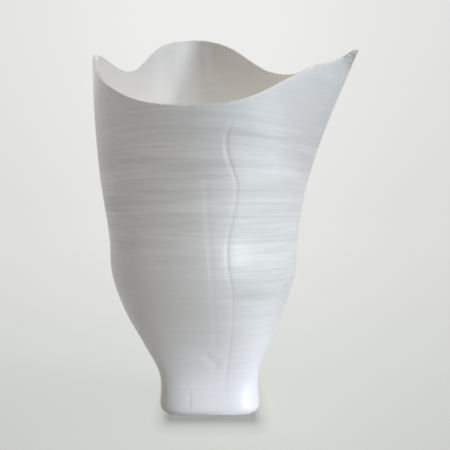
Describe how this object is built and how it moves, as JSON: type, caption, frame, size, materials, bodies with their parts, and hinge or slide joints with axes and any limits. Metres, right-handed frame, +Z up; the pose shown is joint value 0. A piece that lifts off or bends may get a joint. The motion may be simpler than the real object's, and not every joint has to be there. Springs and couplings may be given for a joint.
{
  "type": "planter",
  "caption": "Tall thin-walled planter with a wavy tilted rim on a small rounded-square foot, with a lift-out soil screen and a pull-out drain plug.",
  "frame": {"origin": "on the table, under the middle of the planter's widest extents", "axes": "+Z up, -Y towards the front, where the rim is lowest, +X towards the long right crest of the rim"},
  "size_m": [0.1288, 0.1198, 0.1972],
  "materials": {
    "silk_print": "pearl-white silk print with fine level layer lines",
    "plug_silicone": "matt grey silicone",
    "pad_silicone": "milky clear silicone"
  },
  "bodies": {
    "pot": {"printed_shell": "silk_print", "foot_pad_front_left": "pad_silicone", "foot_pad_front_right": "pad_silicone", "foot_pad_rear_left": "pad_silicone", "foot_pad_rear_right": "pad_silicone"},
    "screen": {"soil_screen": "silk_print", "screen_knob": "silk_print"},
    "plug": {"drain_plug": "plug_silicone"}
  },
  "joints": [
    {"name": "screen_lift", "type": "slide", "parent": "pot", "child": "screen", "axis": [0, 0, 1], "range_m": [0, 0.18]},
    {"name": "plug_pull", "type": "slide", "parent": "pot", "child": "plug", "axis": [0, 0, -1], "range_m": [0, 0.012]}
  ]
}
